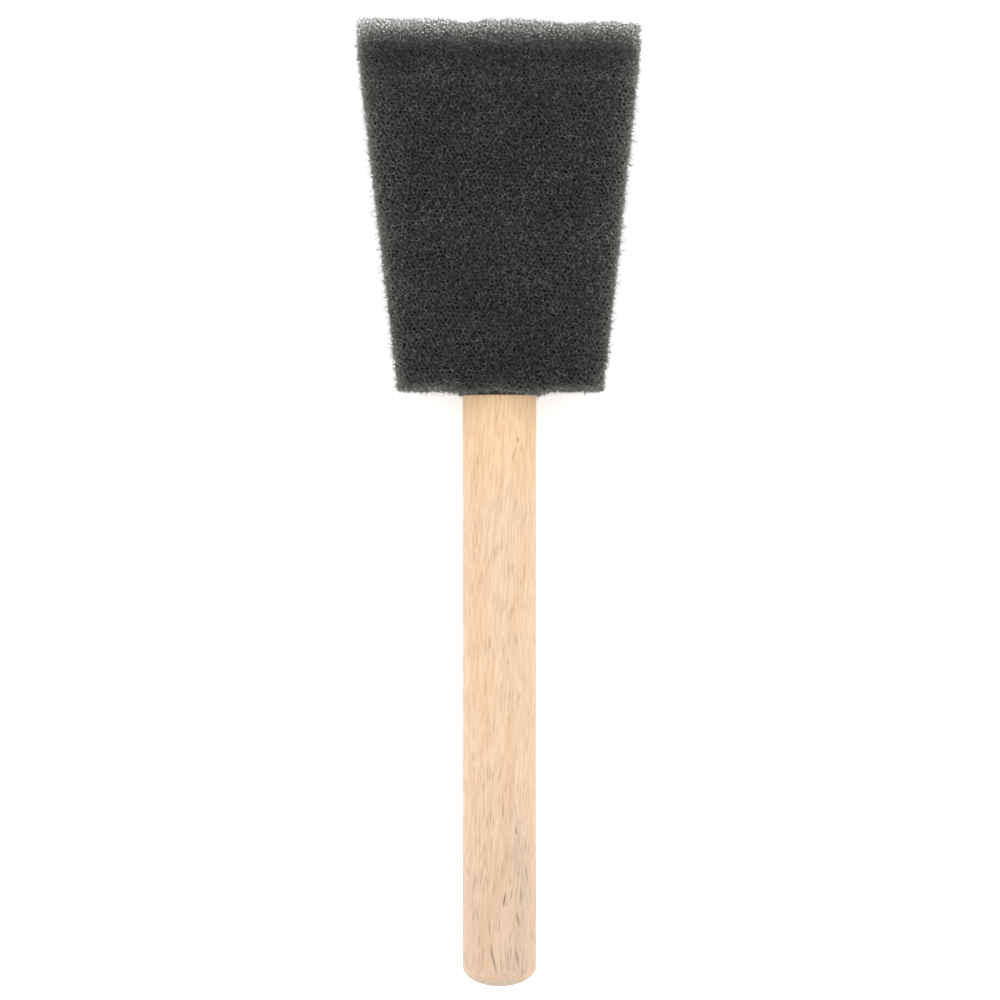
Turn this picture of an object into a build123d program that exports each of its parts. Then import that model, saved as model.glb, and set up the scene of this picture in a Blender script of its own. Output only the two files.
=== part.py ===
"""A 2 inch foam brush: a wooden dowel glued into a moulded core, and a foam head glued over the core.

The brush lies flat. X runs across the head, Y along the handle with the chisel tip at +Y, Z is up.
The origin is the middle of the footprint, on the surface that the head lies on. Millimetres.
A "distance" is measured along Y from the foam's base, and grows towards the tip.
"""

from build123d import *
from math import cos, pi, radians, sin
import os

# Handle: a dowel with a domed free end, turned down a little where it is seated in the core
handle_diameter = 13.1
handle_exposed = 105.4
seat_diameter = 12.4
seat_depth = 24.0
handle_dome = 3.6
dome_angle = 86
seat_chamfer = 0.8

# Foam head: a tapered block with a chisel tip. The socket inside bows its broad faces, flat along the middle
tip_width = 50.8
base_width = 36.8
foam_length = 66.5
shoulder_length = 5.3
bevel_length = 10.3
tip_thickness = 1.6
bevel_thickness = 16.0
base_thickness = 17.0
base_bow = 4.4
tip_bow = 0.2
bow_length = 40.0
crown_width = 9.0
bow_steps = 5

# Core: a socket tube with two barbs, a nose cone, and a ribbed blade with two glue windows
glue_gap = 0.12
socket_wall = 0.9
socket_floor = 1.6
rim_stands_out = 0.6
barb_height = 0.7
barb_length = 2.4
barb_distances = (8.0, 16.0)
nose_length = 7.0
nose_end_radius = 1.6
blade_thickness = 1.6
blade_root = 6.0
blade_neck = 14.0
blade_end = 50.0
blade_neck_width = 22.0
blade_end_width = 35.0
blade_corner_radius = 4.0
rib_thickness = 1.4
rib_height = 2.2
rib_spacing = 9.0
rib_slope = 6.0
rib_end = 42.0
side_rib_start = 16.0
window_length = 9.0
window_width = 4.0
window_distance = 38.5

# Adhesive: a plug past the dowel's inner end, and a coat on both faces of the blade
glue_plug = 0.8
coat_thickness = 0.45
coat_margin = 2.5
coat_start = 31.0
coat_end = 47.5

overall_length = foam_length + handle_exposed
axis_height = (base_thickness + base_bow) / 2
base_y = overall_length / 2 - foam_length
handle_radius = handle_diameter / 2
seat_radius = seat_diameter / 2
bore_radius = seat_radius + glue_gap
bore_end = seat_depth + glue_plug
socket_radius = bore_radius + socket_wall
socket_end = bore_end + socket_floor
flat_plane = Plane(origin=(0, base_y, axis_height), x_dir=(1, 0, 0), z_dir=(0, 0, 1))
side_plane = Plane(origin=(0, base_y, axis_height), x_dir=(0, 1, 0), z_dir=(1, 0, 0))
turning_axis = Axis((0, base_y, axis_height), (0, 1, 0))


def turned(*edges):
    """Turns a closed profile about the handle's axis. Its points are (radius, distance)."""
    return revolve(flat_plane * make_face(edges), turning_axis)


def plate(outline, thickness):
    """A flat plate in the brush's middle plane."""
    return extrude(flat_plane * outline, amount=thickness / 2, both=True)


def handle():
    """The dowel: a shouldered, chamfered end for the socket, and a domed free end with a small flat."""
    dome_start = handle_dome * sin(radians(dome_angle)) - handle_exposed
    shoulder = -rim_stands_out
    dome = EllipticalCenterArc((0, dome_start), handle_radius, handle_dome, -dome_angle, arc_size=dome_angle)
    rest = Polyline(
        dome @ 1,
        (handle_radius, shoulder),
        (seat_radius, shoulder),
        (seat_radius, seat_depth - seat_chamfer),
        (seat_radius - seat_chamfer, seat_depth),
        (0, seat_depth),
        (0, (dome @ 0).Y),
        dome @ 0,
    )
    return turned(dome, *rest.edges())


def bore():
    """The hole in the core's socket, open at the rim."""
    start = -rim_stands_out
    outline = Polyline((0, start), (0, bore_end), (bore_radius, bore_end), (bore_radius, start), close=True)
    return turned(*outline.edges())


def socket():
    """The socket tube's outside, with barbs that stop the foam from sliding off over the tip."""
    points = [(0, -rim_stands_out), (socket_radius, -rim_stands_out)]
    for distance in barb_distances:
        points += [
            (socket_radius, distance),
            (socket_radius + barb_height, distance),
            (socket_radius, distance + barb_length),
        ]
    nose_end = socket_end + nose_length
    points += [(socket_radius, socket_end), (nose_end_radius, nose_end), (0, nose_end)]
    return turned(*Polyline(*points, close=True).edges())


def blade_outline(margin, start, end):
    """The blade's flared outline between two distances, drawn in by a margin."""
    slope = (blade_end_width - blade_neck_width) / (blade_end - blade_neck) / 2
    near = blade_neck_width / 2 + slope * (start - blade_neck) - margin
    far = blade_neck_width / 2 + slope * (end - blade_neck) - margin
    outline = make_face(Polyline((-near, start), (near, start), (far, end), (-far, end), close=True))
    corners = outline.vertices().sort_by(Axis.Y)[-2:]
    return fillet(corners, blade_corner_radius)


def blade():
    """The flat blade, with sloping shoulders where it leaves the socket."""
    neck, root = blade_neck_width / 2, socket_radius
    shoulders = [(-root, blade_root), (root, blade_root), (neck, blade_neck), (-neck, blade_neck)]
    outline = make_face(Polyline(*shoulders, close=True)) + blade_outline(0, blade_neck, blade_end)
    return plate(outline, blade_thickness)


def rib(x, start):
    """One stiffening rib on both faces of the blade, sloping down to it near the tip."""
    top, foot = blade_thickness / 2 + rib_height, blade_thickness / 2
    outline = Polyline(
        (start, -top),
        (rib_end - rib_slope, -top),
        (rib_end, -foot),
        (rib_end, foot),
        (rib_end - rib_slope, top),
        (start, top),
        close=True,
    )
    body = extrude(side_plane * make_face(outline), amount=rib_thickness / 2, both=True)
    return Pos(x, 0, 0) * body


def windows():
    """The two slots between the ribs that the adhesive passes through."""
    slot = Rot(0, 0, 90) * SlotOverall(window_length, window_width)
    return [plate(Pos(side * rib_spacing / 2, window_distance) * slot, blade_thickness) for side in (-1, 1)]


def core():
    """The moulded core: socket, blade and three ribs, in one piece."""
    ribs = [rib(0, socket_end), rib(-rib_spacing, side_rib_start), rib(rib_spacing, side_rib_start)]
    return socket() + blade() + ribs - bore() - windows()


def socket_glue():
    """The adhesive around the dowel's seated end and past its inner face."""
    return bore() - handle()


def blade_glue():
    """The hot melt on both faces of the blade, joined through the windows."""
    coat = plate(blade_outline(coat_margin, coat_start, coat_end), blade_thickness + 2 * coat_thickness)
    return coat - core()


def foam_section(distance):
    """The foam's section at a distance: two straight sides, and broad faces that bow to a flat crown."""
    from_tip = foam_length - distance
    tapered = foam_length - shoulder_length
    width = base_width + (tip_width - base_width) * min(distance / tapered, 1)
    bevelled = max(1 - from_tip / bevel_length, 0)
    body = base_thickness + (bevel_thickness - base_thickness) * min(distance / (foam_length - bevel_length), 1)
    thickness = body + (tip_thickness - body) * bevelled
    fade = (1 + cos(pi * min(distance / bow_length, 1))) / 2
    bow = tip_bow + (base_bow - tip_bow) * fade
    side, edge, crown, flat = width / 2, thickness / 2, (thickness + bow) / 2, crown_width / 2
    half = [
        TangentArc((-flat, crown), (-side, edge), tangent=(-1, 0)),
        Line((-flat, crown), (flat, crown)),
        TangentArc((flat, crown), (side, edge), tangent=(1, 0)),
        Line((side, edge), (side, -edge)),
    ]
    outline = half + [Rot(0, 0, 180) * piece for piece in half]
    plane = Plane(origin=(0, base_y + distance, axis_height), x_dir=(1, 0, 0), z_dir=(0, -1, 0))
    return plane * make_face(outline)


def foam_head():
    """The foam block with its chisel tip, less the pocket that the core and its glue fill."""
    distances = [bow_length * step / bow_steps for step in range(bow_steps + 1)]
    distances += [foam_length - bevel_length, foam_length - shoulder_length, foam_length]
    block = loft([foam_section(distance) for distance in distances], ruled=True)
    return block - core() - blade_glue() - bore()


os.makedirs("parts", exist_ok=True)
for piece in (handle, core, foam_head, socket_glue, blade_glue):
    export_step(piece(), f"parts/{piece.__name__}.step")
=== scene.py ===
"""Looks of the foam brush: real open-cell foam on the head, raw wood on the dowel, a pale studio.

The head is a dark inner body under a web of struts. The body's darkness is partly painted shade of
the deeper foam, and the struts' colour holds painted light that reaches in from the cuts. The web is
a packing of foam cells: the cell centres are a jittered body-centred lattice, four cells meet at each
corner, and each corner has four struts. One description of how the foam was cut shapes both the body
and the web.
"""

import math

import bpy
import numpy as np
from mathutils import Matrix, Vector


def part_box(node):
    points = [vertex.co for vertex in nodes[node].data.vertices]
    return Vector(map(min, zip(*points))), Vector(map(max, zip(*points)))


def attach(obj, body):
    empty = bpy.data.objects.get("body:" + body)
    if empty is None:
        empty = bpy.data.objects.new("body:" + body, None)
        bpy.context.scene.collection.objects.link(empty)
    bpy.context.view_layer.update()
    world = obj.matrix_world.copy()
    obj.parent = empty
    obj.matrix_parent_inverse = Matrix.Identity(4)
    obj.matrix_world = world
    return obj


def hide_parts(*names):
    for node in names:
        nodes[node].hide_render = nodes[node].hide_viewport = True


MM = 0.001
WEB_SEED = 7
BODY_SEED = 11

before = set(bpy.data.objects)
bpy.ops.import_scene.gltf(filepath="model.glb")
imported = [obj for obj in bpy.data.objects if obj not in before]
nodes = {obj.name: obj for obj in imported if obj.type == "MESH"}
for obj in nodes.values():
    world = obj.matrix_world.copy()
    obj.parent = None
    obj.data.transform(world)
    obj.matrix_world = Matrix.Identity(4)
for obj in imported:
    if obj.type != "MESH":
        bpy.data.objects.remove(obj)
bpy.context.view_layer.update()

# The foam's shape, from the frame where the frame gives it. Distances run along Y from the foam's
# base towards the tip, and half widths run across from the dowel's axis.
foam_low, foam_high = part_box("foam_head")
core_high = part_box("core")[1]
AXIS_Z = (foam_low.z + foam_high.z) / 2
BASE_Y = foam_low.y
LENGTH = foam_high.y - foam_low.y
TIP_Y = BASE_Y + LENGTH
TIP_HALF = foam_high.x
BASE_HALF = 18.4 * MM
SHOULDER = LENGTH - 5.3 * MM
BEVEL = 10.3 * MM
BEVEL_Y = TIP_Y - BEVEL
BEVEL_ROUNDING = 0.5 * MM
TIP_THICKNESS = 1.6 * MM
BEVEL_THICKNESS = 16.0 * MM
BASE_THICKNESS = 17.0 * MM
BASE_BOW = foam_high.z - foam_low.z - BASE_THICKNESS
TIP_BOW = 0.2 * MM
BOW_LENGTH = 40.0 * MM
CROWN_HALF = 4.5 * MM

# The core's socket and its glued blade, which the foam leaves room for
SOCKET_RADIUS = 7.3 * MM
SOCKET_END = 27.0 * MM
BLADE_START = 5.8 * MM
BLADE_START_HALF = 11.2 * MM
POCKET_GAP = 0.1 * MM

# How the cut strays from the frame's shape: a trim at the sides and base, a flare at the tip's ends,
# a lean, a tip cut shorter on the right with nicks and a ridge, and a lip that hangs over the socket
TRIM = 0.2 * MM
TIP_FLARE = 0.36 * MM
BASE_LEAN = 0.22 * MM
TIP_LEAN = -0.14 * MM
LEFT_TIP_CUT = -0.3 * MM
RIGHT_TIP_CUT = 0.82 * MM
TIP_OVERHANG = 0.2 * MM
TIP_RIDGE = 0.46 * MM
LIP_SAG = 1.0 * MM
LIP_HALF = 8.0 * MM
OPEN_RIM = 0.64 * MM

# Nicks in the tip: place and width as shares of its half width, and depth in millimetres
TIP_NICKS = [(-0.24, 0.07, 0.58), (0.0, 0.05, 0.3), (0.5, 0.1, 0.25), (0.82, 0.06, -0.3)]

# The foam's cells and struts. The jitter is in cells, its limit in jitters, the drift in quarters.
CELL = 0.96 * MM
QUARTER = CELL / 4
CELL_JITTER = 0.18
JITTER_LIMIT = 1.6
CORNER_DRIFT = 0.9
LATTICE_TURN = (0.35, 0.6, 0.22)
STRUT_RADIUS = 0.057 * MM
STRUT_SPREAD = (0.8, 1.2)
TIP_THINNING = 0.32
STUB_TAPER = 0.8

# How deep the web is below each cut, and how far it reaches into the inner body
WEB_DEPTH = 1.0 * MM
UNDER_WEB_DEPTH = 0.65 * MM
SIDE_WEB_DEPTH = 0.6 * MM
TIP_WEB_DEPTH = 4.0 * MM
TIP_DEEPENING = 0.9
WEB_OVERLAP = 0.2 * MM

# Waves in the depth of the tip's web: height and length in millimetres, and start
TIP_WEB_WAVES = [(0.4, 3.3, 1), (0.25, 1.4, 0)]

# The inner body
BODY_ROUNDING = 1.4 * MM
BODY_STEP = 0.45 * MM
BODY_PITS = (0.985, 1.0)
HALVINGS = 24

# Fraying at the sides, tip and base: loose strut ends, and corners worn away as far in as the wear
# takes them. What stays has to hang on corners that are rooted deeper.
HAIR = 0.2 * MM
LONGEST_HAIR = 4 * HAIR
FRAYED_DEPTH = 0.55 * MM
WEAR = (-0.35, 1.25)
SIDE_ROUGHNESS = 1.6
ROOTED_DEPTH = 0.4 * MM
ROOTED_STEPS = 4

# How far the painted light in the struts' colour reaches in from the cuts: close to a side, further
# in, below a broad face and from the tip. It reaches less far in from the base.
OPEN_DEPTH = 0.6 * MM
GLOW_DEPTH = 2.2 * MM
OPEN_SHARE = 0.35
BASE_DIMMING = 2.3
SHADE_DEPTH = 0.9 * MM
TIP_GLOW = (0.5 * MM, 4.8 * MM)

# Paler lines across the foam, a painted highlight along the crease and a painted glow near the tip:
# place, width and strength. The crease is placed from the bevel's edge towards the base, and the tip's
# line from the tip.
CREASE_HIGHLIGHT = (1.35 * MM, 0.65 * MM, 0.065)
TIP_GLOW_LINE = (4.6 * MM, 0.9 * MM, 0.08)

# Each mesh of the web's bands is kept under this many triangles
BAND_TRIANGLES = 190_000
CORNER_TRIANGLES = 17


def smooth_step(value, start, end):
    """0 before start, 1 after end, with a smooth rise between."""
    t = np.clip((value - start) / (end - start), 0, 1)
    return t * t * (3 - 2 * t)


def smooth_min(a, b, radius):
    """The smaller of two distances, with the corner between them rounded."""
    blend = np.clip(radius - np.abs(a - b), 0, None) / radius
    return np.minimum(a, b) - blend * blend * radius / 4


def bump(value, place, width, height=1.0, power=2):
    """A smooth bump of this height at its place, and squarer for a higher power."""
    return height * np.exp(-((np.abs(value - place) / width) ** power))


def lean(distance):
    """The foam sits slightly askew on its core, leaning to the left towards the tip."""
    return BASE_LEAN + (TIP_LEAN - BASE_LEAN) * distance / LENGTH


def tip_cut(x):
    """How far the ragged tip edge lies short of the foam's full length."""
    across = x / TIP_HALF
    slope = LEFT_TIP_CUT + (RIGHT_TIP_CUT - LEFT_TIP_CUT) * (1 + across) / 2
    nicks = sum(bump(across, place, width, depth * MM) for place, width, depth in TIP_NICKS)
    ridge = TIP_RIDGE * smooth_step(across, -0.15, -0.08) * smooth_step(-across, -0.42, -0.2)
    return np.maximum(slope + nicks - ridge, -TIP_OVERHANG)


def tip_web_depth(x):
    """How far the open web reaches in from the tip, which differs along the edge."""
    waves = [height * MM * np.sin(x / (length * MM) + start) for height, length, start in TIP_WEB_WAVES]
    return TIP_WEB_DEPTH + sum(waves)


def lip_sag(x, height):
    """How far the foam hangs over the base line where it is dragged along the socket."""
    around = bump(x, 0, LIP_HALF, power=8)
    above = smooth_step(np.abs(height), 4 * MM, 7.5 * MM)
    open_rim = bump(x, -0.4 * MM, 3.9 * MM, OPEN_RIM, power=4)
    return (LIP_SAG - open_rim) * around * above


def cut_depths(points):
    """Depths below the foam's sides, broad faces, tip, base and socket hole, negative outside."""
    distance, height = points[:, 1] - BASE_Y, points[:, 2] - AXIS_Z
    x = points[:, 0] - lean(distance)
    taper = (TIP_HALF - BASE_HALF) / SHOULDER
    half_width = BASE_HALF + taper * np.clip(distance, 0, SHOULDER)
    trim = TRIM - TIP_FLARE * smooth_step(distance, LENGTH - 4 * MM, LENGTH - 1 * MM)
    side = (half_width - trim - np.abs(x)) / math.hypot(1, taper)

    to_bevel = np.clip(distance / (LENGTH - BEVEL), 0, 1)
    body = BASE_THICKNESS + (BEVEL_THICKNESS - BASE_THICKNESS) * to_bevel
    fade = (1 + np.cos(np.pi * np.clip(distance / BOW_LENGTH, 0, 1))) / 2
    bow = TIP_BOW + (BASE_BOW - TIP_BOW) * fade
    crown = bow * (1 - ((np.abs(x) - CROWN_HALF).clip(0) / (half_width - CROWN_HALF)) ** 2)
    flat = (body + crown) / 2 - np.abs(height)
    wedge = (BEVEL_THICKNESS - TIP_THICKNESS) / BEVEL
    bevel_half = (TIP_THICKNESS + wedge * (LENGTH - distance)) / 2
    bevel = (bevel_half - np.abs(height)) / math.hypot(1, wedge / 2)
    face = smooth_min(flat, bevel, BEVEL_ROUNDING)

    tip = LENGTH - tip_cut(x) - distance
    base = distance - TRIM + lip_sag(x, height)
    hole = np.where(distance < SOCKET_END, np.hypot(points[:, 0], height) - SOCKET_RADIUS, 1.0)
    return side, face, tip, base, hole


def foam_depth(points):
    """Depth below the nearest cut surface of the foam."""
    return np.minimum.reduce(cut_depths(points))


def body_depth(points):
    """Depth inside the dark inner body, whose edges are rounded."""
    side, face, tip, base, _ = cut_depths(points)
    web = np.where(points[:, 2] > AXIS_Z, WEB_DEPTH, UNDER_WEB_DEPTH)
    web = web * (1 + TIP_DEEPENING * smooth_step(-tip, -8 * MM, -TIP_WEB_DEPTH))
    inner = smooth_min(side - SIDE_WEB_DEPTH, face - web, BODY_ROUNDING)
    inner = smooth_min(inner, tip - tip_web_depth(points[:, 0]), BODY_ROUNDING)
    return smooth_min(inner, base - SIDE_WEB_DEPTH, BODY_ROUNDING)


def light_reaching(points):
    """Two shares of painted light at each point, through the sides or the base and through the tip, and a
    zero.
    """
    side, face, tip, base, _ = (cut.clip(0) for cut in cut_depths(points))
    edge = np.minimum(side, BASE_DIMMING * base)
    # Painted light from the sides and base, dimmed by painted shade below the broad faces
    glow = OPEN_SHARE * np.exp(-edge / OPEN_DEPTH) + (1 - OPEN_SHARE) * np.exp(-edge / GLOW_DEPTH)
    shade = (1 + np.exp(-face / SHADE_DEPTH)) / 2
    # Painted highlight along the crease and painted glow in a line near the tip
    painted_highlights = bump(BEVEL_Y - points[:, 1], *CREASE_HIGHLIGHT) + bump(tip, *TIP_GLOW_LINE)
    thin = 1 - smooth_step(tip, *TIP_GLOW)
    return np.stack([glow * shade + painted_highlights, thin, np.zeros(len(points))], axis=1)


def lattice_rotation():
    """Turns the cell packing away from the foam's own directions, so that no rows line up with a cut."""
    turn = np.eye(3)
    for axis, angle in enumerate(LATTICE_TURN):
        a, b = [k for k in range(3) if k != axis]
        step = np.eye(3)
        step[a, a] = step[b, b] = math.cos(angle)
        step[a, b], step[b, a] = -math.sin(angle), math.sin(angle)
        turn = step @ turn
    return turn


ROTATION = lattice_rotation()
FOAM_MIDDLE = np.array([0, BASE_Y + LENGTH / 2, AXIS_Z])


def lattice_to_world(quarters):
    """Places lattice coordinates, counted in quarters of a cell, in the frame."""
    return quarters * QUARTER @ ROTATION.T + FOAM_MIDDLE


def corner_pattern():
    """The 12 cell corners in one repeat: every order of (0, odd, 2) quarters."""
    orders = [order for odd in (1, 3) for order in ((0, odd, 2), (2, odd, 0))]
    return np.array([np.roll(order, turn) for order in orders for turn in range(3)])


def web_corners():
    """Lattice coordinates of the corners near the foam's web, with one layer to spare round it."""
    reach = int(math.ceil((LENGTH / 2 + TIP_HALF) / CELL)) + 1
    spare = 0.9 * CELL
    steps = np.arange(-reach, reach + 1) * 4
    slab = np.array(np.meshgrid(steps, steps, indexing="ij")).reshape(2, -1).T
    found = []
    for x in steps:
        cells = np.column_stack([np.full(len(slab), x), slab])
        centres = lattice_to_world(cells + 2)
        cells = cells[foam_depth(centres) > -2 * CELL]
        corners = (cells[:, None] + corner_pattern()[None]).reshape(-1, 3)
        places = lattice_to_world(corners)
        near = (foam_depth(places) > -spare) & (body_depth(places) < WEB_OVERLAP + spare)
        found.append(corners[near])
    return np.concatenate(found)


def step_along(corners, axis, amount):
    """Lattice points moved along each one's own axis."""
    moved = corners.copy()
    moved[np.arange(len(corners)), axis] += amount
    return moved


def both_ways(corners, axis, amount):
    """Lattice points moved back and forth along each one's own axis."""
    return [step_along(corners, axis, step) for step in (-amount, amount)]


def corner_roles(corners):
    """The axes on which each corner is 0 and 2, modulo 4, and it with its odd value moved to 0 and to 2."""
    rest = corners % 4
    zero, odd, two = (np.argmax(mask, 1) for mask in (rest == 0, rest % 2 == 1, rest == 2))
    to_zero = np.where(rest[np.arange(len(corners)), odd] == 1, -1, 1)
    return zero, two, step_along(corners, odd, to_zero), step_along(corners, odd, -to_zero)


def neighbours_of(corners):
    """The four corners that each corner's struts lead to."""
    zero, two, near_zero, near_two = corner_roles(corners)
    return both_ways(near_zero, zero, 1) + both_ways(near_two, two, 1)


def centres_of(corners):
    """The four cells that meet at each corner."""
    zero, two, near_zero, near_two = corner_roles(corners)
    return both_ways(near_zero, two, 2) + both_ways(near_two, zero, 2)


def corner_places(corners, rng):
    """Each corner's place: the point equally far from its four jittered cell centres."""
    centres = centres_of(corners)
    low = np.min(centres, axis=(0, 1))
    size = (np.max(centres, axis=(0, 1)) - low) // 2 + 1
    spread = CELL_JITTER * 4
    limit = JITTER_LIMIT * spread
    shifts = rng.normal(0, spread, (*size, 3)).clip(-limit, limit)
    moved = [c + shifts[tuple(((c - low) // 2).T)] for c in centres]
    rows = np.stack([m - moved[0] for m in moved[1:]], axis=1)
    sums = np.stack([(m * m).sum(1) - (moved[0] * moved[0]).sum(1) for m in moved[1:]], axis=1) / 2
    found = np.linalg.solve(rows, sums[..., None])[..., 0]
    drift = found - corners
    far = np.linalg.norm(drift, axis=1, keepdims=True)
    return lattice_to_world(corners + drift * np.minimum(1, CORNER_DRIFT / np.maximum(far, 1e-9)))


def corner_keys(corners, low, size):
    """One whole number for each lattice point."""
    c = corners - low
    return (c[:, 0] * size[1] + c[:, 1]) * size[2] + c[:, 2]


def neighbour_table(corners):
    """For each corner, the row numbers of its four neighbours, or -1 where one isn't in the list."""
    low, size = corners.min(0) - 2, np.ptp(corners, axis=0) + 5
    keys = corner_keys(corners, low, size)
    order = np.argsort(keys)
    columns = []
    for neighbours in neighbours_of(corners):
        wanted = corner_keys(neighbours, low, size)
        at = np.clip(np.searchsorted(keys[order], wanted), 0, len(keys) - 1)
        rows = order[at]
        columns.append(np.where(keys[rows] == wanted, rows, -1))
    return np.stack(columns, axis=1)


class Web:
    """The foam's struts. Each corner is a small tetrahedron, and a strut joins the faces of two of them."""

    def __init__(self):
        rng = np.random.default_rng(WEB_SEED)
        corners = web_corners()
        self.places = corner_places(corners, rng)
        self.table = neighbour_table(corners)
        self.light = light_reaching(self.places)
        side, face, tip, base, hole = cuts = cut_depths(self.places)
        edge = np.minimum.reduce((side, tip, base))
        self.depth = np.minimum.reduce(cuts)
        self.frayed = (edge < 0) & (face > 0) & (hole > 0)

        roughness = np.where(side < np.minimum(tip, base), SIDE_ROUGHNESS, 1.0)
        self.hairs = roughness * np.minimum(rng.exponential(HAIR, len(corners)), LONGEST_HAIR)
        worn = edge < rng.uniform(*WEAR, len(corners)) * FRAYED_DEPTH * roughness
        complete = (self.table >= 0).all(1)
        above_body = body_depth(self.places) < WEB_OVERLAP
        self.inside = self.rooted(complete & (self.depth > 0) & above_body & ~worn)

        along = self.places[self.table] - self.places[:, None]
        self.directions = along / np.maximum(np.linalg.norm(along, axis=2, keepdims=True), 1e-9)
        thickness = STRUT_RADIUS * rng.uniform(*STRUT_SPREAD, len(corners))
        thickness *= 1 - TIP_THINNING * smooth_step(-tip, -6 * MM, -1 * MM)
        self.offsets = -self.directions * thickness[:, None, None]
        self.faces = self.outward_faces()

    def rooted(self, inside):
        """The corners that hang together with the foam below the cut, without the loose bits."""
        rooted = inside & (self.depth > ROOTED_DEPTH)
        for _ in range(ROOTED_STEPS):
            rooted |= inside & rooted[self.table].any(1)
        return rooted

    def outward_faces(self):
        """Each corner's three other points for each strut, anticlockwise seen along the strut."""
        others = np.array([[j for j in range(4) if j != k] for k in range(4)])
        faces = np.broadcast_to(others, (len(self.places), 4, 3)).copy()
        a, b, c = (np.take_along_axis(self.offsets, faces[:, :, i, None], 1) for i in range(3))
        facing = (np.cross(b - a, c - a) * self.directions).sum(2)
        faces[facing < 0] = faces[facing < 0][:, ::-1]
        return faces

    def band(self, members):
        """Vertices, quads, triangles and light of the closed web round these corners."""
        rows = np.flatnonzero(members)
        number = np.full(len(self.places), -1)
        number[rows] = np.arange(len(rows))
        vertices = [(self.places[rows][:, None] + self.offsets[rows]).reshape(-1, 3)]
        light = [np.repeat(self.light[rows], 4, axis=0)]
        quads, triangles = [], []
        count = 4 * len(rows)
        for k in range(4):
            far = self.table[rows, k]
            back = np.argmax(self.table[far] == rows[:, None], axis=1)
            near_face = 4 * number[rows][:, None] + self.faces[rows, k]
            joined = members[far]
            first = joined & (rows < far)
            quads.append(self.strut(rows[first], k, far[first], back[first], near_face[first], number))
            # A strut between two bands is made by the corner that comes first, and the other gets a cap
            owned = ~joined & (~self.inside[far] | (rows < far))
            triangles.append(near_face[~joined & ~owned])
            made, sides, caps = self.stub(rows[owned], k, far[owned], near_face[owned], count)
            vertices.append(made)
            light.append(np.repeat(self.light[far[owned]], 3, axis=0))
            quads.append(sides)
            triangles.append(caps)
            count += len(made)
        return [np.concatenate(part) for part in (vertices, quads, triangles, light)]

    def strut(self, rows, k, far, back, near_face, number):
        """Side faces of the struts that join two corners of one band, with the least twist."""
        far_face = self.faces[far, back]
        near_points = np.take_along_axis(self.offsets[rows], self.faces[rows, k][..., None], 1)
        far_points = np.take_along_axis(self.offsets[far], far_face[..., None], 1)
        matches = [[(shift - i) % 3 for i in range(3)] for shift in range(3)]
        twist = [((near_points - far_points[:, match]) ** 2).sum((1, 2)) for match in matches]
        best = np.array(matches)[np.argmin(twist, axis=0)]
        far_face = 4 * number[far][:, None] + np.take_along_axis(far_face, best, 1)
        return self.sides(near_face, far_face)

    def stub(self, rows, k, far, near_face, start):
        """Struts that end at the foam's cut, in the inner body or at the next band, with a cap each."""
        along = self.places[far] - self.places[rows]
        near_depth, far_depth = self.depth[rows], self.depth[far]
        cut = np.where(far_depth < 0, near_depth / np.maximum(near_depth - far_depth, 1e-9), 1.0)
        length = np.linalg.norm(along, axis=1)
        cut += np.where(self.frayed[far], self.hairs[rows] / length, 0)
        points = np.take_along_axis(self.offsets[rows], self.faces[rows, k][..., None], 1)
        made = (self.places[rows] + along * cut[:, None])[:, None] + points * STUB_TAPER
        far_face = start + np.arange(3 * len(rows)).reshape(-1, 3)
        return made.reshape(-1, 3), self.sides(near_face, far_face), far_face

    @staticmethod
    def sides(near, far):
        """The three side faces between two triangles."""
        turned = [1, 2, 0]
        return np.stack([near, near[:, turned], far[:, turned], far], axis=2).reshape(-1, 4)

    def bands(self):
        """The corners in bands from the base to the tip, each few enough for one mesh."""
        rows = np.flatnonzero(self.inside)
        order = rows[np.argsort(self.places[rows, 1], kind="stable")]
        count = math.ceil(len(order) * CORNER_TRIANGLES / BAND_TRIANGLES)
        for part in np.array_split(order, count):
            members = np.zeros(len(self.places), bool)
            members[part] = True
            yield members


def mesh_object(name, vertices, *face_lists):
    """A mesh object from arrays of vertices and of faces, each list with its own number of corners."""
    mesh = bpy.data.meshes.new(name)
    mesh.vertices.add(len(vertices))
    mesh.vertices.foreach_set("co", np.asarray(vertices, np.float32).ravel())
    loops = np.concatenate([f.ravel() for f in face_lists])
    totals = np.concatenate([np.full(len(f), f.shape[1]) for f in face_lists])
    mesh.loops.add(len(loops))
    mesh.loops.foreach_set("vertex_index", loops.astype(np.int32))
    mesh.polygons.add(len(totals))
    mesh.polygons.foreach_set("loop_start", (np.cumsum(totals) - totals).astype(np.int32))
    mesh.update(calc_edges=True)
    made = bpy.data.objects.new(name, mesh)
    bpy.context.scene.collection.objects.link(made)
    return made


def store_light(made, light):
    """Keeps the shares of painted light at a mesh's vertices for its material."""
    attribute = made.data.attributes.new("light", "FLOAT_VECTOR", "POINT")
    attribute.data.foreach_set("vector", np.asarray(light, np.float32).ravel())


def box_grid(low, high, step):
    """Vertices and quads of a closed box whose faces are grids of about this step."""
    counts = np.maximum(np.round((high - low) / step).astype(int), 1)
    index, quads = {}, []

    def vertex(key):
        return index.setdefault(key, len(index))

    for axis in range(3):
        a, b = (axis + 1) % 3, (axis + 2) % 3
        for end in (0, counts[axis]):
            for i in range(counts[a]):
                for j in range(counts[b]):
                    ring = []
                    for da, db in ((0, 0), (1, 0), (1, 1), (0, 1)):
                        key = [0, 0, 0]
                        key[axis], key[a], key[b] = int(end), i + da, j + db
                        ring.append(vertex(tuple(key)))
                    quads.append(ring if end else ring[::-1])
    keys = np.array(list(index))
    return low + keys / counts * (high - low), np.array(quads)


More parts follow.
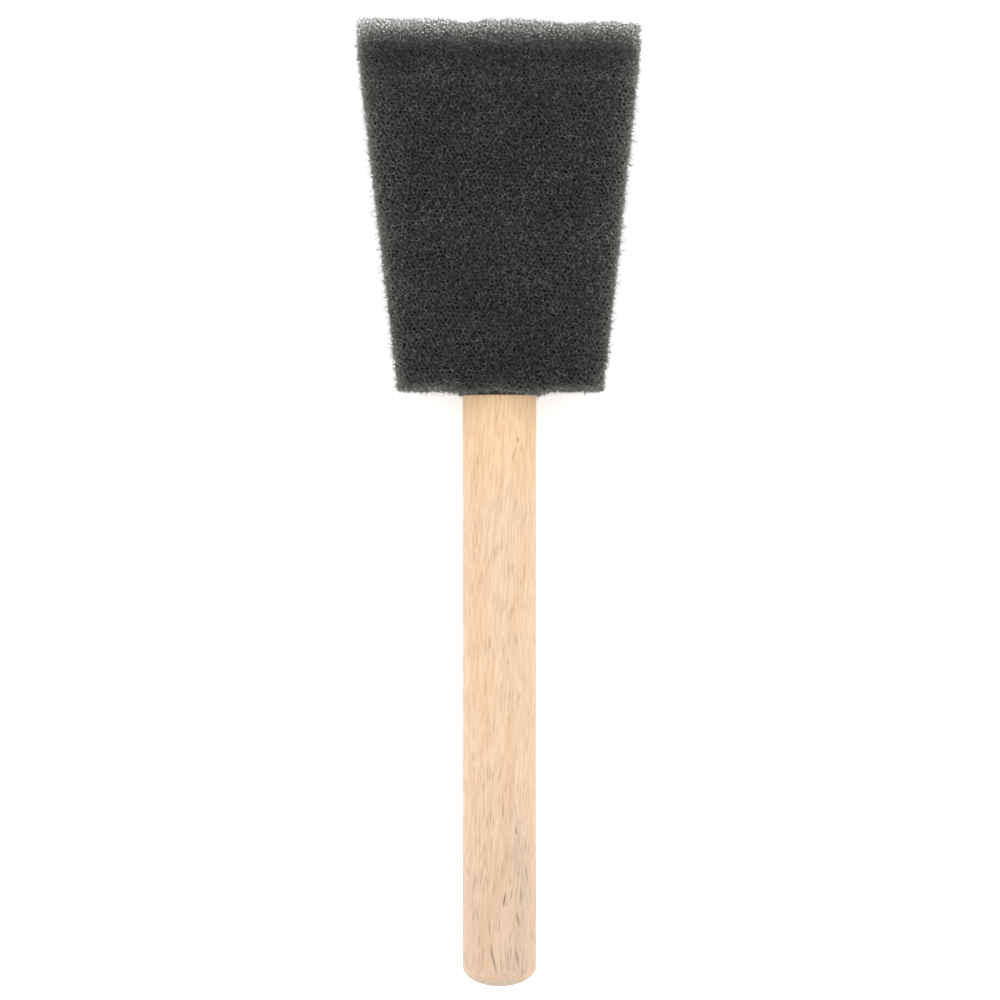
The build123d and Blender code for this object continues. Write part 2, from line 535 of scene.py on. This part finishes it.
def prism(name, near_y, near_ring, far_y, far_ring):
    """A closed shape between two rings of (across, height) points, anticlockwise from X to Z."""
    count = len(near_ring)
    rings = [[(x, y, AXIS_Z + z) for x, z in ring] for y, ring in ((near_y, near_ring), (far_y, far_ring))]
    ring = np.arange(count)
    ahead = (ring + 1) % count
    sides = np.stack([ring, ring + count, ahead + count, ahead], axis=1)
    caps = np.stack([ring, (ring + count)[::-1]])
    return mesh_object(name, np.concatenate(rings), sides, caps)


def rectangle(half_width, half_height):
    """A ring of four (across, height) points."""
    right, left = half_width, -half_width
    return [(right, -half_height), (right, half_height), (left, half_height), (left, -half_height)]


def pocket_shapes():
    """The room that the core's socket and its glued blade take up inside the foam."""
    angles = np.linspace(0, 2 * np.pi, 64, endpoint=False)
    circle = SOCKET_RADIUS * np.column_stack([np.cos(angles), np.sin(angles)])
    socket = prism("socket_pocket", BASE_Y - 2 * MM, circle, BASE_Y + SOCKET_END, circle)
    glue_low, glue_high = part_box("blade_glue")
    half_height = (glue_high.z - glue_low.z) / 2 + POCKET_GAP
    near = rectangle(BLADE_START_HALF, half_height)
    far = rectangle(core_high.x + POCKET_GAP, half_height)
    blade = prism("blade_pocket", BASE_Y + BLADE_START, near, core_high.y + POCKET_GAP, far)
    return socket, blade


def cut_pockets(body):
    """Takes the room for the core out of the inner body."""
    pockets = pocket_shapes()
    for pocket in pockets:
        cut = body.modifiers.new("pocket", "BOOLEAN")
        cut.object = pocket
        cut.solver = "EXACT"
    graph = bpy.context.evaluated_depsgraph_get()
    hollowed = bpy.data.meshes.new_from_object(body.evaluated_get(graph))
    body.modifiers.clear()
    body.data = hollowed
    for pocket in pockets:
        bpy.data.objects.remove(pocket)


def surface_shares(middle, rays):
    """The share of each ray from the middle that lies inside the inner body."""
    near, far = np.zeros(len(rays)), np.ones(len(rays))
    for _ in range(HALVINGS):
        half = (near + far) / 2
        within = body_depth(middle + rays * half[:, None]) > 0
        near, far = np.where(within, half, near), np.where(within, far, half)
    return near


def inner_body():
    """The dark body under the web: a rounded, pitted copy of the cut foam, with the core's pocket."""
    low = np.array((-TIP_HALF, BASE_Y + WEB_DEPTH, foam_low.z))
    high = np.array((TIP_HALF, TIP_Y - TIP_WEB_DEPTH, foam_high.z))
    points, quads = box_grid(low, high, BODY_STEP)
    middle = (low + high) / 2
    rays = points - middle
    rng = np.random.default_rng(BODY_SEED)
    shares = surface_shares(middle, rays) * rng.uniform(*BODY_PITS, len(points))
    body = mesh_object("foam_body", middle + rays * shares[:, None], quads)
    cut_pockets(body)
    vertices = body.data.vertices
    places = np.empty(3 * len(vertices), np.float32)
    vertices.foreach_get("co", places)
    store_light(body, light_reaching(places.reshape(-1, 3).astype(float)))
    return body


def new_material(name):
    """An empty node material with its Principled shader."""
    material = bpy.data.materials.new(name)
    material.use_nodes = True
    return material, material.node_tree, material.node_tree.nodes["Principled BSDF"]


def add_node(tree, kind, inputs=None, **settings):
    """A shader node with its settings, and its inputs set to values or linked to sockets."""
    node = tree.nodes.new(kind)
    for key, value in settings.items():
        setattr(node, key, value)
    for key, value in (inputs or {}).items():
        if isinstance(value, bpy.types.NodeSocket):
            tree.links.new(value, node.inputs[key])
        else:
            node.inputs[key].default_value = value
    return node


def ramp(tree, factor, stops):
    """A colour ramp through (position, colour) stops."""
    node = add_node(tree, "ShaderNodeValToRGB", {"Fac": factor})
    elements = node.color_ramp.elements
    while len(elements) < len(stops):
        elements.new(0.5)
    for element, (position, colour) in zip(elements, stops):
        element.position = position
        element.color = (*colour, 1)
    return node.outputs["Color"]


def scaled(tree, vector, size, turn=(0, 0, 0), centre=(0, 0, 0)):
    """Coordinates measured from a centre, in units of a size, with the axes turned."""
    inputs = {"Vector": vector, "Location": centre, "Rotation": turn, "Scale": size}
    return add_node(tree, "ShaderNodeMapping", inputs, vector_type="TEXTURE").outputs["Vector"]


def noise(tree, vector, scale=1.0, detail=2.0, roughness=0.5):
    """A noise value from 0 to 1."""
    inputs = {"Vector": vector, "Scale": scale, "Detail": detail, "Roughness": roughness}
    return add_node(tree, "ShaderNodeTexNoise", inputs).outputs["Fac"]


def math_node(tree, operation, *values):
    """One arithmetic step."""
    return add_node(tree, "ShaderNodeMath", dict(enumerate(values)), operation=operation).outputs["Value"]


def product(tree, a, b):
    """One value times another."""
    return math_node(tree, "MULTIPLY", a, b)


def larger(tree, a, b):
    """The larger of two values."""
    return math_node(tree, "MAXIMUM", a, b)


def vector_math(tree, operation, *vectors):
    """One arithmetic step on vectors or colours."""
    inputs = dict(enumerate(vectors))
    return add_node(tree, "ShaderNodeVectorMath", inputs, operation=operation).outputs["Vector"]


def ranged(tree, value, low, high, to_low=0.0, to_high=1.0):
    """A value moved from one range to another, held at the ends."""
    inputs = {"Value": value, "From Min": low, "From Max": high, "To Min": to_low, "To Max": to_high}
    return add_node(tree, "ShaderNodeMapRange", inputs, interpolation_type="SMOOTHSTEP").outputs["Result"]


def mixed(tree, factor, a, b):
    """Two colours mixed by a factor."""
    node = add_node(tree, "ShaderNodeMix", {"Factor": factor}, data_type="RGBA")
    inputs = [i for i in node.inputs if i.type == "RGBA"]
    for socket, value in zip(inputs, (a, b)):
        if isinstance(value, bpy.types.NodeSocket):
            tree.links.new(value, socket)
        else:
            socket.default_value = (*value, 1)
    return [o for o in node.outputs if o.type == "RGBA"][0]


def bumped(tree, shader, height, distance, strength=1.0):
    """Gives the shader a bump of this height in metres."""
    inputs = {"Height": height, "Distance": distance, "Strength": strength}
    tree.links.new(add_node(tree, "ShaderNodeBump", inputs).outputs["Normal"], shader.inputs["Normal"])


def object_place(tree):
    """Object coordinates, in metres."""
    return add_node(tree, "ShaderNodeTexCoord").outputs["Object"]


def y_of(tree, place):
    """The Y coordinate of each place."""
    return add_node(tree, "ShaderNodeSeparateXYZ", {"Vector": place}).outputs["Y"]


def light_shares(tree):
    """The painted light that reaches each point through the sides or the base, and through the tip."""
    light = add_node(tree, "ShaderNodeAttribute", attribute_name="light").outputs["Vector"]
    shares = add_node(tree, "ShaderNodeSeparateXYZ", {"Vector": light}).outputs
    return shares["X"], shares["Y"]


# Places along Y where painted shade changes the struts' brightness: above the base, into the bevel's edge
# and past it
DIM_BASE = (25 * MM, 48 * MM)
BEVEL_EDGE = (BEVEL_Y - 1.3 * MM, BEVEL_Y + 0.6 * MM)
PAST_EDGE = (BEVEL_Y + 1 * MM, BEVEL_Y + 5 * MM)

# Tones of the struts in the dark, and painted lit tones by an open side and by the tip
STRUT_TONES = [(0.32, (0.044, 0.048, 0.0465)), (0.5, (0.09, 0.097, 0.094)), (0.68, (0.24, 0.255, 0.245))]
SIDE_LIT_TONES = [(0.32, (0.25, 0.241, 0.213)), (0.68, (0.72, 0.7, 0.63))]
TIP_LIT_TONES = [(0.32, (0.045, 0.0395, 0.0275)), (0.68, (0.25, 0.222, 0.16))]


def strut_strength(tree, place):
    """How bright the struts are: a little blotchy, and darker with painted shade towards the base and on
    the bevel.
    """
    y = y_of(tree, place)
    blotches = ranged(tree, noise(tree, place, 110.0, 3.0), 0.32, 0.68, 0.76, 1.0)
    by_base = ranged(tree, y, *DIM_BASE, 0.84, 1.03)
    into_edge = ranged(tree, y, *BEVEL_EDGE, 1.0, 0.88)
    past_edge = ranged(tree, y, *PAST_EDGE, 0.0, 1.03)
    along = product(tree, by_base, larger(tree, into_edge, past_edge))
    return product(tree, along, blotches)


def strut_material():
    """Dyed foam struts, dark grey, with painted light: paler by the sides and base and warmer by the tip.
    """
    material, tree, shader = new_material("foam_strut")
    place = object_place(tree)
    fleck = noise(tree, place, 1500.0)
    by_side, by_tip = light_shares(tree)
    # Painted light: the dark tone moves to lit tones by the tip and by the open sides
    tone = mixed(tree, by_tip, ramp(tree, fleck, STRUT_TONES), ramp(tree, fleck, TIP_LIT_TONES))
    tone = mixed(tree, by_side, tone, ramp(tree, fleck, SIDE_LIT_TONES))
    inputs = {0: tone, "Scale": strut_strength(tree, place)}
    uneven = add_node(tree, "ShaderNodeVectorMath", inputs, operation="SCALE")
    tree.links.new(uneven.outputs["Vector"], shader.inputs["Base Color"])
    tree.links.new(ranged(tree, fleck, 0.3, 0.7, 0.5, 0.68), shader.inputs["Roughness"])
    shader.inputs["Specular IOR Level"].default_value = 0.25
    bumped(tree, shader, noise(tree, place, 9000.0), 0.004 * MM)
    return material


def deep_material():
    """The foam below the web, darker than the struts as painted shade: darker cells with thin paler walls,
    paler by the open sides as painted light.
    """
    material, tree, shader = new_material("foam_deep")
    inputs = {"Vector": object_place(tree), "Scale": 1.25 / CELL, "Randomness": 0.8}
    cells = add_node(tree, "ShaderNodeTexVoronoi", inputs, feature="DISTANCE_TO_EDGE").outputs["Distance"]
    wall = ranged(tree, cells, 0.05, 0.22, 1.0, 0.0)
    # Painted shade and painted light: a shaded and a lit copy of the deep foam, mixed by the painted light
    # from the sides
    dark = mixed(tree, wall, (0.01, 0.0106, 0.0103), (0.05, 0.053, 0.051))
    lit = mixed(tree, wall, (0.03, 0.029, 0.025), (0.2, 0.193, 0.168))
    by_side, _ = light_shares(tree)
    tree.links.new(mixed(tree, by_side, dark, lit), shader.inputs["Base Color"])
    tree.links.new(ranged(tree, cells, 0.0, 0.3, 0.6, 0.9), shader.inputs["Roughness"])
    shader.inputs["Specular IOR Level"].default_value = 0.06
    bumped(tree, shader, wall, 0.15 * MM)
    return material


# The wood's colours
WOOD_BANDS = [(0.3, (0.865, 0.64, 0.465)), (0.5, (0.855, 0.615, 0.42)), (0.68, (0.81, 0.56, 0.36))]
STREAK = (0.74, 0.475, 0.27)
FIBRE = (0.62, 0.40, 0.25)
PORE = (0.48, 0.29, 0.16)
END_PORE = (0.27, 0.19, 0.12)
# Painted light: paler and warmer wood near the foam, lifting the foam's shade
PAINTED_LIGHT_BY_FOAM = (1.13, 1.08, 0.94)
STAIN = (0.54, 0.44, 0.35)
DULL_END = (0.64, 0.465, 0.335)
MARK = (0.24, 0.175, 0.12)
# The cut end: darker end grain, partly painted shade over the dome
END_GRAIN_AND_SHADE = (0.44, 0.35, 0.25)

# Places along Y where the wood changes: towards the free end, over its dome, and towards the foam, where
# the pores get fainter and painted light lifts the foam's shade on the wood, paler and warmer
FREE_END = (-38 * MM, -80 * MM)
DOME = (-83.2 * MM, -86 * MM)
FAINT_PORES = (-2 * MM, 12 * MM)
PAINTED_LIGHT_NEAR_FOAM = (-4 * MM, 17 * MM)

# The grain's angle to the dowel in degrees, and how far from the axis marks and stains are centred
GRAIN_TILT = -4
MARK_RADIUS = 6.5 * MM

# Marks on top of the dowel: centre and half sizes in millimetres, lean in degrees, strength
GRAIN_MARKS = [
    ((3.1, 11.0), (0.35, 0.7), 0, 0.45),
    ((2.3, 8.4), (0.22, 2.1), 14, 0.4),
    ((3.8, 9.4), (0.22, 1.1), -10, 0.35),
    ((-0.5, 14.9), (0.25, 3.6), 6, 0.25),
    ((-3.9, 7.2), (0.5, 1.3), 2, 0.2),
    ((0.2, -0.4), (0.22, 2.0), 4, 0.35),
    ((2.9, 0.0), (0.25, 1.2), 6, 0.3),
    ((3.1, -24.2), (0.2, 1.6), -8, 0.45),
    ((1.4, -28.2), (0.2, 1.0), 2, 0.4),
    ((-1.6, -25.0), (0.36, 2.4), 6, 0.35),
    ((-1.1, -39.6), (0.25, 2.1), 6, 0.35),
    ((-2.6, -50.2), (0.25, 1.5), 6, 0.4),
    ((0.7, -54.5), (0.3, 1.9), 6, 0.45),
    ((2.8, -58.0), (0.35, 0.8), -15, 0.55),
    ((4.5, -65.4), (0.2, 3.0), -8, 0.6),
    ((-4.5, -67.3), (0.2, 2.6), 2, 0.35),
    ((1.0, -69.9), (0.24, 1.8), 8, 0.95),
    ((3.6, -69.1), (0.2, 2.4), -4, 0.6),
    ((3.4, -73.4), (0.36, 2.1), -14, 0.65),
    ((-1.7, -74.9), (0.26, 2.3), 2, 0.45),
    ((-1.3, -80.8), (0.34, 3.6), -9, 0.75),
    ((0.1, -81.6), (0.22, 2.2), 2, 0.4),
    ((1.6, -80.2), (0.2, 2.2), 0, 0.4),
    ((3.1, -80.0), (0.4, 2.4), -4, 0.5),
    ((3.9, -83.0), (0.5, 1.2), 0, 0.4),
]

# The two parts of the grey stain, given in the same way
STAIN_SPOTS = [((3.8, -66.0), (2.6, 19.0), -2), ((2.8, -82.0), (4.2, 7.0), 0)]


def spot(tree, place, centre, radii, lean_angle):
    """1 in the middle of a leaning ellipsoid and 0 outside it, given in millimetres from the axis."""
    x, y = (v * MM for v in centre)
    surface = math.sqrt(max(MARK_RADIUS**2 - x * x, 0))
    size = (radii[0] * MM, radii[1] * MM, 3 * MM)
    local = scaled(tree, place, size, (0, 0, math.radians(-lean_angle)), (x, y, AXIS_Z + surface))
    length = add_node(tree, "ShaderNodeVectorMath", {0: local}, operation="LENGTH").outputs["Value"]
    return ranged(tree, length, 0.2, 1.0, 1.0, 0.0)


def along_grain(tree, place, width, length, tilt=GRAIN_TILT):
    """Coordinates in units of a width and a length in millimetres, with the length along the grain."""
    size = (width * MM, length * MM, width * MM)
    return scaled(tree, place, size, (0, 0, math.radians(tilt)))


def wandering(tree, place):
    """Places moved sideways a little, so that the grain isn't quite straight."""
    vector = along_grain(tree, place, 9, 16, tilt=0)
    drift = add_node(tree, "ShaderNodeTexNoise", {"Vector": vector, "Scale": 1.0}).outputs["Color"]
    shift = vector_math(tree, "SUBTRACT", drift, (0.5, 0.5, 0.5))
    return vector_math(tree, "MULTIPLY_ADD", shift, (2.2 * MM, 0.0, 2.2 * MM), place)


def fibre_tone(tree, bent, fibres, towards_end):
    """Broad bands and streaks of colour under darker fibres, which are stronger towards the free end."""
    bands = noise(tree, along_grain(tree, bent, 2.6, 45))
    streaks = noise(tree, along_grain(tree, bent, 0.75, 13))
    streak = ranged(tree, streaks, 0.5, 0.72, 0.0, 0.5)
    tone = mixed(tree, streak, ramp(tree, bands, WOOD_BANDS), STREAK)
    strength = math_node(tree, "MULTIPLY_ADD", towards_end, 0.28, 0.46)
    return mixed(tree, product(tree, ranged(tree, fibres, 0.4, 0.66), strength), tone, FIBRE)


def pore_strength(tree, bent, y, towards_end):
    """Short dark pores, fainter near the foam and stronger towards the free end."""
    inputs = {"Vector": along_grain(tree, bent, 0.5, 5.2), "Scale": 1.0}
    cells = add_node(tree, "ShaderNodeTexVoronoi", inputs).outputs["Distance"]
    by_foam = ranged(tree, y, *FAINT_PORES, 0.52, 0.25)
    strongest = math_node(tree, "MULTIPLY_ADD", towards_end, 0.4, by_foam)
    return ranged(tree, cells, 0.15, 0.36, strongest, 0.0)


def pore_patches(tree, place, towards_end):
    """Where the pores show: in patches, and nearly everywhere towards the free end."""
    patches = noise(tree, along_grain(tree, place, 2.5, 9, tilt=0), 1.0, 1.0)
    return larger(tree, ranged(tree, patches, 0.4, 0.62, 0.1, 1.0), product(tree, towards_end, 0.8))


def grain_marks(tree, bent):
    """The strongest of the dark marks at each place."""
    marks = 0.0
    for centre, radii, lean_angle, strength in GRAIN_MARKS:
        marks = larger(tree, marks, product(tree, spot(tree, bent, centre, radii, lean_angle), strength))
    return marks


def grey_stain(tree, bent, fibres):
    """The stain near the free end, which has soaked in along the fibres."""
    near, far = (spot(tree, bent, *stain) for stain in STAIN_SPOTS)
    return product(tree, larger(tree, near, far), ranged(tree, fibres, 0.4, 0.6, 0.15, 0.9))


def wood_material():
    """Raw pale hardwood: long fibres, short dark pores, a small knot and a grey stain near the free end,
    with painted light near the foam and a cut end darkened by end grain and partly by painted shade.
    """
    material, tree, shader = new_material("handle_wood")
    place = object_place(tree)
    bent, y = wandering(tree, place), y_of(tree, place)
    towards_end = ranged(tree, y, *FREE_END)
    fibres = noise(tree, along_grain(tree, bent, 0.34, 5.5), 1.0, 3.0, 0.6)
    pore = pore_strength(tree, bent, y, towards_end)
    marks = grain_marks(tree, bent)

    tone = fibre_tone(tree, bent, fibres, towards_end)
    pores = product(tree, pore, pore_patches(tree, place, towards_end))
    tone = mixed(tree, pores, tone, mixed(tree, towards_end, PORE, END_PORE))
    # Painted light near the foam, lifting the shade the foam casts on the wood
    by_foam = mixed(tree, ranged(tree, y, *PAINTED_LIGHT_NEAR_FOAM), (1.0, 1.0, 1.0), PAINTED_LIGHT_BY_FOAM)
    tone = vector_math(tree, "MULTIPLY", tone, by_foam)
    tone = mixed(tree, grey_stain(tree, bent, fibres), tone, STAIN)
    tone = mixed(tree, product(tree, towards_end, 0.5), tone, DULL_END)
    tone = mixed(tree, marks, tone, MARK)
    # The cut end's dome, darker from end grain and partly from painted shade
    speckle = ranged(tree, noise(tree, place, 3200.0), 0.35, 0.6, 0.7, 1.0)
    end_grain_and_shade = product(tree, ranged(tree, y, *DOME), speckle)
    tree.links.new(mixed(tree, end_grain_and_shade, tone, END_GRAIN_AND_SHADE), shader.inputs["Base Color"])

    tree.links.new(ranged(tree, fibres, 0.3, 0.7, 0.45, 0.7), shader.inputs["Roughness"])
    height = math_node(tree, "SUBTRACT", fibres, larger(tree, pore, marks))
    bumped(tree, shader, height, 0.05 * MM, 0.6)
    return material


def moulded_material(name, dark, light, roughness, grain):
    """Moulded plastic or set adhesive: slight drifts of colour and gloss and a fine skin."""
    material, tree, shader = new_material(name)
    place = object_place(tree)
    drift = noise(tree, place, 350.0, 3.0)
    tree.links.new(ramp(tree, drift, [(0.35, dark), (0.65, light)]), shader.inputs["Base Color"])
    gloss = ranged(tree, drift, 0.3, 0.7, roughness - 0.08, roughness + 0.08)
    tree.links.new(gloss, shader.inputs["Roughness"])
    bumped(tree, shader, noise(tree, place, grain), 0.02 * MM)
    return material


def finish_node(name, material):
    """Gives a CAD node its finished material."""
    for slot in nodes[name].material_slots:
        slot.material = material


def build_foam():
    """The head: the inner body, and the web of struts in bands that ride with it."""
    body = inner_body()
    body.data.materials.clear()
    body.data.materials.append(deep_material())
    material = strut_material()
    web = Web()
    pieces = [body]
    for index, members in enumerate(web.bands(), 1):
        vertices, quads, triangles, light = web.band(members)
        band = mesh_object(f"foam_cells_{index}", vertices, quads, triangles)
        store_light(band, light)
        band.data.materials.append(material)
        band.parent = body
        pieces.append(band)
    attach(body, "root")
    for piece in pieces:
        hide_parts("foam_head")


# The studio
FLOOR_HALF = 3.0
FLOOR_GLOW = 0.46
SOFT_BOX_SIDE = 1.2
SOFT_BOX_POWER = 3.5
SOFT_BOX_PLACE = (-0.05, 0.05, 1.5)
LENS = 145
FIELD = 177.6 * MM
CAMERA_X = 0.09 * MM
CAMERA_Y = 0.33 * MM


def build_floor():
    """A wide white floor that glows a little, so that shadows on it stay weak."""
    material, _, shader = new_material("floor")
    shader.inputs["Base Color"].default_value = (0.85, 0.85, 0.85, 1)
    shader.inputs["Roughness"].default_value = 0.9
    shader.inputs["Emission Color"].default_value = (1, 1, 1, 1)
    shader.inputs["Emission Strength"].default_value = FLOOR_GLOW
    half = FLOOR_HALF
    corners = np.array([(-half, -half, 0), (half, -half, 0), (half, half, 0), (-half, half, 0)])
    floor = mesh_object("floor", corners, np.array([[0, 1, 2, 3]]))
    floor.data.materials.append(material)


def build_lights(scene):
    """A bright even room, and a soft box overhead."""
    world = bpy.data.worlds.new("room")
    scene.world = world
    world.use_nodes = True
    background = world.node_tree.nodes["Background"]
    background.inputs["Color"].default_value = (1, 1, 1, 1)
    background.inputs["Strength"].default_value = 1.0
    light = bpy.data.lights.new("soft_box", "AREA")
    light.shape = "RECTANGLE"
    light.size = light.size_y = SOFT_BOX_SIDE
    light.energy = SOFT_BOX_POWER
    box = bpy.data.objects.new("soft_box", light)
    box.location = SOFT_BOX_PLACE
    scene.collection.objects.link(box)


def build_camera(scene):
    """A long lens that looks straight down, far enough up to see the field at the dowel's height."""
    camera = bpy.data.cameras.new("camera")
    camera.lens = LENS
    camera.clip_start, camera.clip_end = 0.01, 20
    view = bpy.data.objects.new("camera", camera)
    view.location = (CAMERA_X, CAMERA_Y, AXIS_Z + FIELD * LENS / camera.sensor_width)
    scene.collection.objects.link(view)
    scene.camera = view


def build_studio():
    """A pale floor, soft light and the camera."""
    scene = bpy.context.scene
    scene.view_settings.view_transform = "Standard"
    build_floor()
    build_lights(scene)
    build_camera(scene)


build_studio()
build_foam()
finish_node("handle", wood_material())
plastic = moulded_material("core_plastic", (0.02, 0.012, 0.008), (0.035, 0.023, 0.015), 0.6, 4000.0)
finish_node("core", plastic)
glue = moulded_material("adhesive", (0.58, 0.47, 0.29), (0.68, 0.58, 0.4), 0.35, 1500.0)
finish_node("socket_glue", glue)
finish_node("blade_glue", glue)
